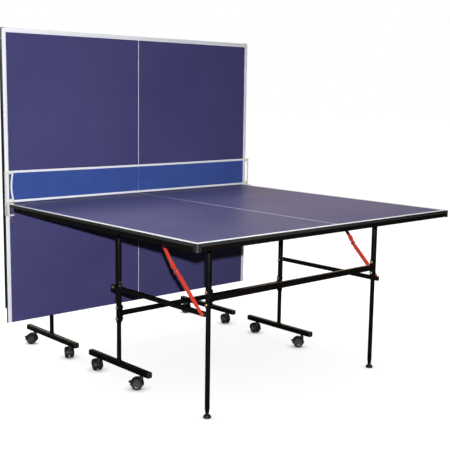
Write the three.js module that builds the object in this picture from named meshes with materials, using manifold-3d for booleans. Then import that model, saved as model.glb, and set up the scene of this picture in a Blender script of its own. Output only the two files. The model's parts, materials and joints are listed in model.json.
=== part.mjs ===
// Two-half playback table tennis table, millimetres, +Z up, floor at Z 0.
// The near half is unfolded flat and carries the net; the far half is folded upright behind the net.
// Each half is a rolling carriage with a hinged top. X runs across the table, the near player is at -Y.
import * as THREE from 'three';
import { mergeVertices } from 'three/addons/utils/BufferGeometryUtils.js';
import Module from 'manifold-3d';

const wasm = await Module();
wasm.setup();

// ---- driving dimensions -------------------------------------------------------------------------
const CLEAR = 0.3;               // gap kept between pieces that touch

const HALF_LENGTH = 1370;        // playing surface of one half, net edge to end edge
const WIDTH = 1525;
const TOP_HEIGHT = 760;          // playing surface above the floor
const BOARD_THICK = 13;
const BOARD_CORNER_R = 8;

const APRON_HEIGHT = 18;         // steel apron tube under the board's rim
const APRON_WIDTH = 24;
const APRON_INSET = 2;
const APRON_START = 70;          // the side aprons start this far from the net edge

const LEG_INSET = 252.5;         // leg centre to the board's side edge
const PIVOT_DROP = 30;           // top pivots below the playing surface
const INNER_PIVOT = 540;         // inner leg pivot from the net edge
const LEG_SPACING = 604;         // inner leg to outer leg
const SLEEVE_R = 12.5;           // upper leg tube
const LEG_TUBE_R = 10;           // lower leg tube
const INNER_SLEEVE_END = 265;    // heights where the upper tubes end
const OUTER_SLEEVE_END = 447;
const OUTER_LEG_END = 22;        // height of the outer leg tube's lower end

const FOOT_LENGTH = 450;         // T-foot of the inner leg
const FOOT_SECTION = 25;
const CASTER_ROOM = 15;          // from the wheels' top to the underside of the T-foot
const CASTER_SPACING = 330;      // between the two casters of one T-foot

const BAR_HEIGHT = 430;          // side bar's inner pin above the floor
const BAR_SECTION = 20;          // side bar, upright side
const BAR_THICK = 14;
const BAR_OVERHANG = 14;         // bar end beyond its pin
const LEG_TO_BAR = 5.5;          // leg tube to the bar's inner face
const STOW_TILT = 3;             // degrees that a folded outer leg leans away from its board

const INNER_CROSS_HEIGHT = 307;  // cross bars between the left and right legs
const OUTER_CROSS_HEIGHT = 486;
const INNER_CROSS_SECTION = [20, 20];
const OUTER_CROSS_SECTION = [20, 25];
const PLATE_THICK = 3;
const PLATE_WIDTH = 14;
const PLATE_HEIGHT = 75;

const PIN_R = 4;
const PIN_HOLE_R = 4.5;

const STRUT_RISE = 18.2;         // strut's top pin above its lower pin when the half is folded
const STRUT_DROP = 6;            // strut's top pin below the pivot line
const STRUT_SLACK = 0.673;       // both links together, beyond the straight line between their pins
const ELBOW_RISE = 9.25;         // elbow above the middle of the strut
const STRUT_THICK = 4;
const UPPER_LINK_WIDTH = 17;
const LOWER_LINK_WIDTH = 20.5;
const STRUT_EYE_R = 11;
const STRUT_GAP = 1.2;

const RAIL_THICK = 3;            // pressed pivot rail under the board
const EAR_GAP = 1;
const EAR_WIDTH = 26;
const EAR_BELOW_PIN = 9;

const WHEEL_R = 25;
const WHEEL_WIDTH = 16;
const WHEEL_GAP = 8;             // between the twin wheels
const AXLE_R = 3;
const CASTER_TRAIL = 18;
const HOOD_THICK = 3.4;
const STEM_R = 5;
const STEM_DEPTH = 12;           // caster stem inside the T-foot

const GLIDE_R = 16;              // levelling foot
const GLIDE_HEIGHT = 13;
const GLIDE_STEM_DEPTH = 30;

const FAR_GAP = 6;               // net edge to the upright board's face

const NET_HEIGHT = 152.5;
const NET_SIDE_GAP = 6.5;        // net's side edge inside the board's side edge
const NET_THICK = 2;
const NET_LIFT = 5.3;            // net's lower edge above the board
const NET_SETBACK = 8;           // net plane from the net edge
const POST_SECTION = [7, 8];
const PEG_R = 2.5;
const PEG_LENGTH = 30;
const CLAMP_THICK = 8.2;
const CLAMP_JAW = 4.2;
const CLAMP_REACH = 23;          // jaw over the board
const CLAMP_WIDTH = 30;
const CLAMP_DEPTH = 47;          // lower arm below the board's top
const CLAMP_ARM = 7;
const CLAMP_SCREW_INSET = 13;
const KNOB_R = 12;

// ---- values worked out from them ----------------------------------------------------------------
const LEG_X = WIDTH / 2 - LEG_INSET;
const PIVOT_Z = TOP_HEIGHT - PIVOT_DROP;
const FOOT_HEIGHT = 2 * WHEEL_R + CASTER_ROOM;     // underside of the T-foot above the floor
const UNDERSIDE = PIVOT_DROP - BOARD_THICK;        // board's underside above the pivot line
const BAR_X = LEG_X + SLEEVE_R + LEG_TO_BAR;       // bar's inner face
const LOWER_LINK_X = BAR_X + BAR_THICK + 1;
const UPPER_LINK_X = LOWER_LINK_X + STRUT_THICK + STRUT_GAP;
const STRUT_EAR_X = UPPER_LINK_X + STRUT_THICK + 1.5;
const FAR_Y = FAR_GAP + PIVOT_DROP;                // far carriage centre
const RIGHT_ANGLE = Math.PI / 2;
const MID_SHIFT = (HALF_LENGTH - FAR_Y - FOOT_LENGTH / 2) / 2;

// Linkage in the side view of one half: [outward from the inner pivot, up from it].
// The outer leg hangs upright when the top is flat and leans by STOW_TILT when it is folded.
// Its lower pin is placed so that the side bar has the same length in both states.
const BAR_DROP = PIVOT_Z - BAR_HEIGHT;
const TILT = THREE.MathUtils.degToRad(STOW_TILT);
const STOW_SPAN = LEG_SPACING + BAR_DROP;
const OUTER_PIN = (LEG_SPACING ** 2 + BAR_DROP ** 2 - STOW_SPAN ** 2)
  / (2 * (BAR_DROP - STOW_SPAN * Math.cos(TILT)));
const STRUT_FROM_PIVOT = LEG_SPACING - OUTER_PIN * Math.cos(TILT) + STRUT_RISE;
const vec = (x, y) => new THREE.Vector2(x, y);

// The strut is all but straight when the top is flat, and its elbow sits above its middle.
const strutTopFlat = vec(STRUT_FROM_PIVOT, -STRUT_DROP);
const STRUT_LENGTH = strutTopFlat.distanceTo(vec(LEG_SPACING, -OUTER_PIN)) + STRUT_SLACK;
const STRUT_UPPER = STRUT_LENGTH / 2 - ELBOW_RISE;
const STRUT_LOWER = STRUT_LENGTH / 2 + ELBOW_RISE;

function linkage(folded) {
  const strutTop = folded ? vec(STRUT_DROP, STRUT_FROM_PIVOT) : strutTopFlat;
  const pinOut = folded
    ? vec(OUTER_PIN * Math.sin(TILT), LEG_SPACING - OUTER_PIN * Math.cos(TILT))
    : vec(LEG_SPACING, -OUTER_PIN);
  const bar = pinOut.clone().sub(vec(0, -BAR_DROP));
  const toPin = pinOut.clone().sub(strutTop);
  const reach = toPin.length();
  const bend = Math.acos((STRUT_UPPER ** 2 + reach ** 2 - STRUT_LOWER ** 2) / (2 * STRUT_UPPER * reach));
  const upper = toPin.angle() + (folded ? bend : -bend);
  const elbow = strutTop.clone().add(vec(Math.cos(upper), Math.sin(upper)).multiplyScalar(STRUT_UPPER));
  const wrap = (angle) => Math.atan2(Math.sin(angle), Math.cos(angle));
  return {
    barLength: bar.length(),
    bar: wrap(bar.angle()),
    upper: wrap(upper) - (folded ? RIGHT_ANGLE : 0),
    lower: wrap(elbow.clone().sub(pinOut).angle()),
  };
}
const FLAT = linkage(false);
const STOWED = linkage(true);

// ---- materials ----------------------------------------------------------------------------------
const finish = (color, roughness, metalness) =>
  new THREE.MeshStandardMaterial({ color, roughness, metalness });
const boardBlue = finish(0x3d3a78, 0.45, 0);
const powderBlack = finish(0x151413, 0.5, 0.4);
const plasticBlack = finish(0x1c1c1d, 0.55, 0);
const strutRed = finish(0xd8452e, 0.45, 0.2);
const netBlue = finish(0x2c3f86, 0.9, 0);
const postGrey = finish(0xc9ccd0, 0.4, 0.3);

// ---- geometry helpers ---------------------------------------------------------------------------
function boxFromTo(x0, x1, y0, y1, z0, z1) {
  const geometry = new THREE.BoxGeometry(Math.abs(x1 - x0), Math.abs(y1 - y0), Math.abs(z1 - z0));
  return geometry.translate((x0 + x1) / 2, (y0 + y1) / 2, (z0 + z1) / 2);
}

function rodX(radius, x0, x1, y, z, sides = 12) {
  const geometry = new THREE.CylinderGeometry(radius, radius, Math.abs(x1 - x0), sides);
  return geometry.rotateZ(RIGHT_ANGLE).translate((x0 + x1) / 2, y, z);
}

function rodZ(radius, x, y, z0, z1, sides = 16) {
  const geometry = new THREE.CylinderGeometry(radius, radius, Math.abs(z1 - z0), sides);
  return geometry.rotateX(RIGHT_ANGLE).translate(x, y, (z0 + z1) / 2);
}

// A profile of [radius, height] points turned about the vertical axis.
function turned(points, sides = 14) {
  const profile = points.map(([radius, height]) => new THREE.Vector2(radius, height));
  return new THREE.LatheGeometry(profile, sides).rotateX(RIGHT_ANGLE);
}

// An outline in the XZ plane given a width along Y, centred on Y 0.
function plateXZ(shape, width, curveSegments = 5) {
  const geometry = new THREE.ExtrudeGeometry(shape, { depth: width, bevelEnabled: false, curveSegments });
  return geometry.rotateX(RIGHT_ANGLE).translate(0, width / 2, 0);
}

function toSolid(geometry) {
  const bare = geometry.clone();
  bare.deleteAttribute('normal');
  bare.deleteAttribute('uv');
  const merged = mergeVertices(bare, 1e-4);
  return new wasm.Manifold(new wasm.Mesh({
    numProp: 3,
    vertProperties: new Float32Array(merged.attributes.position.array),
    triVerts: new Uint32Array(merged.index.array),
  }));
}

function toGeometry(solid) {
  const mesh = solid.getMesh();
  const geometry = new THREE.BufferGeometry();
  geometry.setAttribute('position', new THREE.BufferAttribute(mesh.vertProperties, 3));
  geometry.setIndex(new THREE.BufferAttribute(mesh.triVerts, 1));
  return geometry;
}

// Joins the pieces of one part, then cuts the tools out of it.
function build(pieces, cuts = []) {
  let solid = pieces.map(toSolid).reduce((whole, piece) => whole.add(piece));
  for (const tool of cuts) solid = solid.subtract(toSolid(tool));
  return toGeometry(solid);
}

function addMesh(parent, name, geometry, material) {
  const mesh = new THREE.Mesh(geometry, material);
  mesh.name = name;
  parent.add(mesh);
  return mesh;
}

function groupAt(parent, x, y, z, turnX = 0) {
  const group = new THREE.Group();
  group.position.set(x, y, z);
  group.rotation.x = turnX;
  parent.add(group);
  return group;
}

// ---- pieces of one half, in frames with X across, Y outward from the net, Z up --------------------
// Frame of the top: origin on the inner pivot line.
function boardGeometry() {
  const [x, y0, y1, r] = [WIDTH / 2, -INNER_PIVOT, HALF_LENGTH - INNER_PIVOT, BOARD_CORNER_R];
  const shape = new THREE.Shape();
  shape.moveTo(-x, y0).lineTo(x, y0).lineTo(x, y1 - r);
  shape.absarc(x - r, y1 - r, r, 0, RIGHT_ANGLE, false);
  shape.absarc(r - x, y1 - r, r, RIGHT_ANGLE, Math.PI, false);
  const options = { depth: BOARD_THICK, bevelEnabled: false, curveSegments: 4 };
  return new THREE.ExtrudeGeometry(shape, options).translate(0, 0, UNDERSIDE);
}

function apronGeometry() {
  const outer = WIDTH / 2 - APRON_INSET;
  const inner = outer - APRON_WIDTH;
  const start = APRON_START - INNER_PIVOT;
  const end = HALF_LENGTH - APRON_INSET - INNER_PIVOT;
  const corners = [[-outer, start], [-inner, start], [-inner, end - APRON_WIDTH], [inner, end - APRON_WIDTH],
    [inner, start], [outer, start], [outer, end], [-outer, end]];
  const shape = new THREE.Shape(corners.map(([x, y]) => new THREE.Vector2(x, y)));
  const geometry = new THREE.ExtrudeGeometry(shape, { depth: APRON_HEIGHT, bevelEnabled: false });
  return geometry.translate(0, 0, UNDERSIDE - CLEAR - APRON_HEIGHT);
}

// Flat strip screwed to the board, with two ears at each leg and an outrigger ear for the strut.
function railGeometry(side) {
  const plateTop = UNDERSIDE - CLEAR;
  const plateLow = plateTop - RAIL_THICK;
  const earIn = LEG_X - SLEEVE_R - EAR_GAP;
  const earOut = LEG_X + SLEEVE_R + EAR_GAP;
  const reach = STRUT_EAR_X + RAIL_THICK;
  const ear = (x, y, drop) => boxFromTo(side * x, side * (x + RAIL_THICK), y - EAR_WIDTH / 2,
    y + EAR_WIDTH / 2, -drop - EAR_BELOW_PIN, plateLow + 1);
  const pieces = [
    boxFromTo(side * (earIn - RAIL_THICK), side * (earOut + RAIL_THICK), -EAR_WIDTH,
      LEG_SPACING + EAR_WIDTH, plateLow, plateTop),
    boxFromTo(side * earOut, side * reach, STRUT_FROM_PIVOT - EAR_WIDTH / 2,
      STRUT_FROM_PIVOT + EAR_WIDTH / 2, plateLow, plateTop),
    ear(STRUT_EAR_X, STRUT_FROM_PIVOT, STRUT_DROP),
  ];
  const holes = [rodX(PIN_HOLE_R, side * (LEG_X + 2 * SLEEVE_R), side * (reach + 1), STRUT_FROM_PIVOT,
    -STRUT_DROP)];
  for (const y of [0, LEG_SPACING]) {
    pieces.push(ear(earIn - RAIL_THICK, y, 0), ear(earOut, y, 0));
    holes.push(rodX(PIN_HOLE_R, side * (earIn - 2 * RAIL_THICK), side * (earOut + 2 * RAIL_THICK), y, 0));
  }
  return build(pieces, holes);
}

// Round leg top: the tube, its rounded crown and the pivot pin through both ears.
function legTop(side, zPivot, zEnd) {
  const crown = SLEEVE_R - 0.2;
  const pinEnd = SLEEVE_R + EAR_GAP + RAIL_THICK + 0.8;
  return [
    rodZ(SLEEVE_R, side * LEG_X, 0, zEnd, zPivot),
    rodX(crown, side * (LEG_X - crown), side * (LEG_X + crown), 0, zPivot, 16),
    rodX(PIN_R, side * (LEG_X - pinEnd), side * (LEG_X + pinEnd), 0, zPivot),
  ];
}

function innerLegGeometry(side) {
  const footTop = FOOT_HEIGHT + FOOT_SECTION;
  const half = FOOT_SECTION / 2;
  const pieces = [
    ...legTop(side, PIVOT_Z, INNER_SLEEVE_END),
    rodZ(LEG_TUBE_R, side * LEG_X, 0, footTop - 1, INNER_SLEEVE_END + 1),
    boxFromTo(side * LEG_X - half, side * LEG_X + half, -FOOT_LENGTH / 2, FOOT_LENGTH / 2,
      FOOT_HEIGHT, footTop),
    rodX(PIN_R, side * LEG_X, side * (BAR_X + BAR_THICK + 2), 0, BAR_HEIGHT),
  ];
  const sockets = [-1, 1].map((end) => rodZ(STEM_R + 0.4, side * LEG_X, end * CASTER_SPACING / 2,
    FOOT_HEIGHT - 1, FOOT_HEIGHT + STEM_DEPTH + 2, 12));
  return build(pieces, sockets);
}

// Cross bar with a bolted plate at each end, at height z in its parent's frame.
function crossGeometry([depth, height], z) {
  const plateOut = LEG_X - SLEEVE_R - CLEAR;
  const plateIn = plateOut - PLATE_THICK;
  const plate = (side) => boxFromTo(side * plateIn, side * plateOut, -PLATE_WIDTH / 2, PLATE_WIDTH / 2,
    z - PLATE_HEIGHT / 2, z + PLATE_HEIGHT / 2);
  const bar = boxFromTo(-plateIn - 1, plateIn + 1, -depth / 2, depth / 2, z - height / 2, z + height / 2);
  return build([bar, plate(-1), plate(1)]);
}

// Side bar, from its inner pin at the origin along Y.
function sideBarGeometry(side) {
  const bossR = BAR_SECTION / 2 - 2;
  const bossX = LEG_X + SLEEVE_R + 0.8;
  const inner = side * BAR_X;
  const outer = side * (BAR_X + BAR_THICK);
  const length = FLAT.barLength;
  const half = BAR_SECTION / 2;
  return build([
    boxFromTo(inner, outer, -BAR_OVERHANG, length + BAR_OVERHANG, -half, half),
    rodX(bossR, side * bossX, inner + side, 0, 0),
    rodX(bossR, side * bossX, inner + side, length, 0),
    rodX(PIN_R, outer - side, side * (LOWER_LINK_X + STRUT_THICK + 0.8), length, 0),
  ], [rodX(PIN_HOLE_R, side * (bossX - 1), outer + side, 0, 0)]);
}

// Outer leg hanging from its pivot pin at the origin.
function outerLegGeometry(side) {
  const low = OUTER_LEG_END - PIVOT_Z;
  const sleeveEnd = OUTER_SLEEVE_END - PIVOT_Z;
  return build([
    ...legTop(side, 0, sleeveEnd),
    rodZ(LEG_TUBE_R, side * LEG_X, 0, low, sleeveEnd + 1),
  ], [rodZ(STEM_R + 0.4, side * LEG_X, 0, low - 1, low + GLIDE_STEM_DEPTH + 2, 12)]);
}

function glideGeometry() {
  const neckTop = OUTER_LEG_END - 0.5;
  const stemTop = OUTER_LEG_END + GLIDE_STEM_DEPTH;
  return turned([[0, 0], [GLIDE_R, 0], [GLIDE_R, GLIDE_HEIGHT * 0.4], [GLIDE_R * 0.8, GLIDE_HEIGHT * 0.75],
    [STEM_R + 2, GLIDE_HEIGHT], [STEM_R + 2, neckTop], [STEM_R, neckTop], [STEM_R, stemTop], [0, stemTop]]);
}

// Flat link with round eyes from the origin along Y, lying between x and x + STRUT_THICK.
function linkGeometry(side, x, length, width, holes, pins = []) {
  const neck = Math.asin(width / 2 / STRUT_EYE_R);
  const shape = new THREE.Shape();
  shape.absarc(0, 0, STRUT_EYE_R, neck, 2 * Math.PI - neck, false);
  shape.absarc(length, 0, STRUT_EYE_R, neck - Math.PI, Math.PI - neck, false);
  const options = { depth: STRUT_THICK, bevelEnabled: false, curveSegments: 5 };
  const geometry = new THREE.ExtrudeGeometry(shape, options);
  const toSideView = new THREE.Matrix4().makeBasis(
    new THREE.Vector3(0, 1, 0), new THREE.Vector3(0, 0, 1), new THREE.Vector3(1, 0, 0));
  geometry.applyMatrix4(toSideView).translate(side > 0 ? x : -x - STRUT_THICK, 0, 0);
  return build([geometry, ...pins], holes);
}

function upperLinkGeometry(side) {
  const outer = UPPER_LINK_X + STRUT_THICK;
  const pin = rodX(PIN_R, side * (outer - 1), side * (STRUT_EAR_X + RAIL_THICK + 0.8), 0, 0);
  return linkGeometry(side, UPPER_LINK_X, STRUT_UPPER, UPPER_LINK_WIDTH, [], [pin]);
}

function lowerLinkGeometry(side) {
  const hole = rodX(PIN_HOLE_R, side * (LOWER_LINK_X - 1), side * (UPPER_LINK_X), 0, 0);
  return linkGeometry(side, LOWER_LINK_X, STRUT_LOWER, LOWER_LINK_WIDTH, [hole]);
}

// Caster frame: origin on the floor under the stem, the wheels trail along +X.
function casterForkGeometry(braked) {
  const wheelSpan = 2 * WHEEL_WIDTH + WHEEL_GAP;
  const hoodIn = WHEEL_R + 1.6;
  const hoodOut = hoodIn + HOOD_THICK;
  const [from, to] = [-Math.PI / 18, Math.PI * 19 / 18];
  const hood = new THREE.Shape();
  hood.absarc(0, 0, hoodOut, from, to, false);
  hood.absarc(0, 0, hoodIn, to, from, true);
  const web = new THREE.Shape();
  web.absarc(0, 0, hoodIn + 1, from, to, false);
  web.lineTo(0, -2 * AXLE_R - 2);
  const axleHole = new THREE.Path().absarc(0, 0, AXLE_R + 0.6, 0, 2 * Math.PI, false);
  web.holes.push(axleHole);
  const place = (geometry) => geometry.translate(CASTER_TRAIL, 0, WHEEL_R);
  const tyreRoom = (y) => place(new THREE.CylinderGeometry(hoodIn, hoodIn, WHEEL_WIDTH + 1, 16)
    .translate(0, y, 0));
  const wheelY = (WHEEL_GAP + WHEEL_WIDTH) / 2;
  const column = rodZ(STEM_R + 2, 0, 0, WHEEL_R + 6, FOOT_HEIGHT - CLEAR, 10);
  const collar = build([column], [tyreRoom(wheelY), tyreRoom(-wheelY)]);
  const pieces = [
    place(plateXZ(hood, wheelSpan)),
    place(plateXZ(web, WHEEL_GAP - 2)),
    collar,
    rodZ(STEM_R, 0, 0, FOOT_HEIGHT - 2, FOOT_HEIGHT + STEM_DEPTH, 10),
  ];
  if (braked) {
    pieces.push(boxFromTo(CASTER_TRAIL + hoodIn - 1, CASTER_TRAIL + hoodOut + 5, -10, 10,
      WHEEL_R + 7, WHEEL_R + 12));
  }
  return build(pieces);
}

// Twin wheels and their axle, one turned solid about Y.
function wheelsGeometry() {
  const inner = WHEEL_GAP / 2;
  const outer = inner + WHEEL_WIDTH;
  const hub = WHEEL_R * 0.62;
  const half = [[0, outer - 2], [hub, outer - 2], [WHEEL_R - 3, outer], [WHEEL_R, outer - 3],
    [WHEEL_R, inner + 1], [WHEEL_R - 1, inner], [AXLE_R, inner]];
  const mirrored = half.map(([radius, y]) => [radius, -y]).reverse();
  const profile = [...half, ...mirrored].map(([radius, y]) => new THREE.Vector2(radius, y)).reverse();
  return new THREE.LatheGeometry(profile, 18).translate(CASTER_TRAIL, 0, WHEEL_R);
}

// ---- one half -------------------------------------------------------------------------------------
// turn is the half's heading about Z, folded is 0 flat to 1 upright, trails are the casters' headings.
function addHalf(parent, name, { y, turn, folded, trails }) {
  const carriage = new THREE.Group();
  carriage.position.y = y;
  carriage.rotation.z = turn;
  parent.add(carriage);
  const mix = (flat, stowed) => flat + folded * (stowed - flat);
  const sideName = (side) => (side * Math.cos(turn) < 0 ? 'left' : 'right');

  const top = groupAt(carriage, 0, 0, PIVOT_Z, folded * RIGHT_ANGLE);
  addMesh(top, `${name}_board`, boardGeometry(), boardBlue);
  addMesh(top, `${name}_apron_frame`, apronGeometry(), powderBlack);
  const outerFrame = groupAt(top, 0, LEG_SPACING, 0, mix(0, TILT - RIGHT_ANGLE));
  addMesh(outerFrame, `${name}_outer_cross_bar`,
    crossGeometry(OUTER_CROSS_SECTION, OUTER_CROSS_HEIGHT - PIVOT_Z), powderBlack);
  addMesh(carriage, `${name}_inner_cross_bar`,
    crossGeometry(INNER_CROSS_SECTION, INNER_CROSS_HEIGHT), powderBlack);

  for (const side of [-1, 1]) {
    const end = sideName(side);
    addMesh(top, `${name}_pivot_rail_${end}`, railGeometry(side), powderBlack);
    addMesh(carriage, `${name}_inner_leg_${end}`, innerLegGeometry(side), powderBlack);
    addMesh(outerFrame, `${name}_outer_leg_${end}`, outerLegGeometry(side), powderBlack);
    const glide = groupAt(outerFrame, side * LEG_X, 0, -PIVOT_Z);
    addMesh(glide, `${name}_levelling_foot_${end}`, glideGeometry(), plasticBlack);

    const bar = groupAt(carriage, 0, 0, BAR_HEIGHT, mix(FLAT.bar, STOWED.bar));
    addMesh(bar, `${name}_side_bar_${end}`, sideBarGeometry(side), powderBlack);
    const lower = groupAt(bar, 0, FLAT.barLength, 0, mix(FLAT.lower - FLAT.bar, STOWED.lower - STOWED.bar));
    addMesh(lower, `${name}_strut_lower_${end}`, lowerLinkGeometry(side), strutRed);
    const upper = groupAt(top, 0, STRUT_FROM_PIVOT, -STRUT_DROP, mix(FLAT.upper, STOWED.upper));
    addMesh(upper, `${name}_strut_upper_${end}`, upperLinkGeometry(side), strutRed);

    for (const [place, sign] of [['inner', -1], ['outer', 1]]) {
      const caster = groupAt(carriage, side * LEG_X, sign * CASTER_SPACING / 2, 0);
      caster.rotation.z = trails[place] - turn;
      addMesh(caster, `${name}_caster_fork_${end}_${place}`, casterForkGeometry(place === 'outer'),
        plasticBlack);
      addMesh(caster, `${name}_caster_wheels_${end}_${place}`, wheelsGeometry(), plasticBlack);
    }
  }
  return top;
}

// ---- net set, in the frame of the near top --------------------------------------------------------
function addNet(top) {
  const edge = WIDTH / 2;
  const netY = NET_SETBACK - INNER_PIVOT;
  const netTop = PIVOT_DROP + NET_HEIGHT;
  const netHalf = edge - NET_SIDE_GAP;
  addMesh(top, 'net', boxFromTo(-netHalf, netHalf, netY - NET_THICK / 2, netY + NET_THICK / 2,
    PIVOT_DROP + NET_LIFT, netTop), netBlue);

  const wallIn = edge + 0.8;
  const wallOut = wallIn + CLAMP_THICK;
  const pegX = (wallIn + wallOut) / 2;
  const jawTop = PIVOT_DROP + CLEAR + CLAMP_JAW;
  const armLow = PIVOT_DROP - CLAMP_DEPTH - CLAMP_ARM;
  const clampY = CLAMP_WIDTH / 2 + 4 - INNER_PIVOT;
  const tip = UNDERSIDE - CLEAR;
  const screwX = edge - CLAMP_SCREW_INSET;
  for (const side of [-1, 1]) {
    const end = side > 0 ? 'left' : 'right';
    const outline = [[edge - CLAMP_REACH, jawTop], [wallOut, jawTop], [wallOut, armLow],
      [edge - CLAMP_REACH, armLow], [edge - CLAMP_REACH, armLow + CLAMP_ARM],
      [wallIn, armLow + CLAMP_ARM], [wallIn, jawTop - CLAMP_JAW], [edge - CLAMP_REACH, jawTop - CLAMP_JAW]];
    const shape = new THREE.Shape(outline.map(([x, z]) => new THREE.Vector2(side * x, z)));
    const clamp = build([plateXZ(shape, CLAMP_WIDTH).translate(0, clampY, 0)], [
      rodZ(PIN_HOLE_R, side * screwX, clampY, armLow - 1, armLow + CLAMP_ARM + 1, 12),
      rodZ(PEG_R + 0.4, side * pegX, netY, jawTop - PEG_LENGTH - 2, jawTop + 1, 12),
    ]);
    addMesh(top, `net_clamp_${end}`, clamp, postGrey);
    const screw = turned([[0, armLow - 31], [KNOB_R - 2, armLow - 31], [KNOB_R, armLow - 28],
      [KNOB_R, armLow - 17], [KNOB_R - 2, armLow - 14], [PIN_R, armLow - 14], [PIN_R, tip - 4],
      [2 * PIN_R, tip - 4], [2 * PIN_R, tip], [0, tip]]);
    addMesh(top, `net_clamp_screw_${end}`, screw.translate(side * screwX, clampY, 0), plasticBlack);
    const [px, py] = POST_SECTION.map((size) => size / 2);
    addMesh(top, `net_post_${end}`, build([
      boxFromTo(side * pegX - px, side * pegX + px, netY - py, netY + py, jawTop + CLEAR, netTop + 1.5),
      rodZ(PEG_R, side * pegX, netY, jawTop - PEG_LENGTH, jawTop + 1, 12),
    ]), postGrey);
  }
}

// ---- the whole table --------------------------------------------------------------------------------
const degrees = THREE.MathUtils.degToRad;
const table = new THREE.Group();
table.position.y = MID_SHIFT;
const nearTop = addHalf(table, 'near', {
  y: -INNER_PIVOT, turn: Math.PI, folded: 0, trails: { inner: degrees(75), outer: degrees(138) },
});
addHalf(table, 'far', {
  y: FAR_Y, turn: 0, folded: 1, trails: { inner: degrees(68), outer: degrees(130) },
});
addNet(nearTop);

export default table;
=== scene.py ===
import json

import bmesh
import bpy
import numpy as np
from mathutils import Matrix, Vector


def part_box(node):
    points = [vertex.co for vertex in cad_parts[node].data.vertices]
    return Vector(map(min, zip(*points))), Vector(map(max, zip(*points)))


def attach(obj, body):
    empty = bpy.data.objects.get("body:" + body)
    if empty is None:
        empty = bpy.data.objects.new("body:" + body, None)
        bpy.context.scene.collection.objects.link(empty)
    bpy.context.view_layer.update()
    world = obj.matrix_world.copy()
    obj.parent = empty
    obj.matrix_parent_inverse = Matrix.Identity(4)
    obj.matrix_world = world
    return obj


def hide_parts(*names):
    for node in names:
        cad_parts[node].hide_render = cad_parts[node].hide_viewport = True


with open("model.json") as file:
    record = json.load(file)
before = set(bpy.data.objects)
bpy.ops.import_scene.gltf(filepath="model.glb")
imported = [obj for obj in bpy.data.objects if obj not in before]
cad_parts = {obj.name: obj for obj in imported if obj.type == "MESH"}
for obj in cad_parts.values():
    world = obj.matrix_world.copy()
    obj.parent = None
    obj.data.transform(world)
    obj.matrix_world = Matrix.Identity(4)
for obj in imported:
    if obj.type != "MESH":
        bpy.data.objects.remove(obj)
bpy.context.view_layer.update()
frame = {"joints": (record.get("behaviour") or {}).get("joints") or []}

joints = {joint["name"]: joint for joint in frame["joints"]}


# ---- camera ------------------------------------------------------------------------------------
# A long lens at chest height, looking down a little at the near left corner of the table.
eye = np.array([-2.686, -3.085, 1.2755])
azimuth, dip, roll = np.radians([-42.13, 8.55, 0.84])
ahead = np.array([-np.sin(azimuth) * np.cos(dip), np.cos(azimuth) * np.cos(dip), -np.sin(dip)])
level = np.cross(ahead, [0, 0, 1]) / np.cos(dip)
above = np.cross(level, ahead)
camera = bpy.data.objects.new("camera", bpy.data.cameras.new("camera"))
camera.data.sensor_width = 36
camera.data.lens = 69.5
camera.data.clip_end = 200
axes = [np.cos(roll) * level + np.sin(roll) * above,
        np.cos(roll) * above - np.sin(roll) * level, -ahead]
camera.matrix_world = Matrix.Translation(eye) @ Matrix(np.transpose(axes).tolist()).to_4x4()
bpy.context.scene.collection.objects.link(camera)
bpy.context.scene.camera = camera


# ---- floor and light ---------------------------------------------------------------------------
# A bright studio: white surroundings, a pale floor washed by a soft lamp of its own, and a smaller
# lamp just above the camera, which puts a narrow dark shadow below the top.
bpy.context.scene.view_settings.view_transform = "Standard"


def dimmer_unseen(tree, seen, unseen):
    """A factor for a stage surface: the value seen where the camera looks at it, and the value unseen
    for the light that it gives to the table."""
    ray = tree.nodes.new("ShaderNodeLightPath")
    factor = tree.nodes.new("ShaderNodeMapRange")
    factor.inputs["To Min"].default_value, factor.inputs["To Max"].default_value = unseen, seen
    tree.links.new(ray.outputs["Is Camera Ray"], factor.inputs["Value"])
    return factor.outputs["Result"]


world = bpy.data.worlds.new("studio")
world.use_nodes = True
backdrop = world.node_tree.nodes["Background"]
backdrop.inputs["Color"].default_value = (1, 1, 1, 1)
world.node_tree.links.new(dimmer_unseen(world.node_tree, 1.0, 0.055), backdrop.inputs["Strength"])
bpy.context.scene.world = world

floor_half = 40.0
floor_mesh = bpy.data.meshes.new("floor")
floor_corners = [(x * floor_half, y * floor_half, 0) for x, y in ((-1, -1), (1, -1), (1, 1), (-1, 1))]
floor_mesh.from_pydata(floor_corners, [], [(0, 1, 2, 3)])
floor = bpy.data.objects.new("floor", floor_mesh)
floor_paint = bpy.data.materials.new("pale_floor")
floor_paint.use_nodes = True
floor_shader = floor_paint.node_tree.nodes["Principled BSDF"]
floor_tree = floor_paint.node_tree
floor_tree.links.new(dimmer_unseen(floor_tree, 0.16, 0.035), floor_shader.inputs["Base Color"])
# The floor glows a little where the camera looks. Close to whatever stands on it, ambient occlusion darkens
# that glow into a painted contact shadow.
painted_contact_shade = floor_tree.nodes.new("ShaderNodeAmbientOcclusion")
painted_contact_shade.inputs["Distance"].default_value = 0.045
painted_contact_shade.samples = 12
# Painted shade: the occlusion colour dims the floor's glow under and around the feet and casters.
floor_tree.links.new(painted_contact_shade.outputs["Color"], floor_shader.inputs["Emission Color"])
floor_tree.links.new(dimmer_unseen(floor_tree, 0.86, 0.0), floor_shader.inputs["Emission Strength"])
floor_shader.inputs["Roughness"].default_value = 1.0
floor_shader.inputs["Specular IOR Level"].default_value = 0.0
floor_mesh.materials.append(floor_paint)
bpy.context.scene.collection.objects.link(floor)


def light_at(name, kind, place, aim, power):
    """A light of that kind at place that shines towards aim."""
    light = bpy.data.lights.new(name, kind)
    light.energy = power
    thing = bpy.data.objects.new(name, light)
    facing = (Vector(aim) - Vector(place)).to_track_quat("-Z", "Y")
    thing.matrix_world = Matrix.Translation(place) @ facing.to_matrix().to_4x4()
    bpy.context.scene.collection.objects.link(thing)
    return thing


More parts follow.
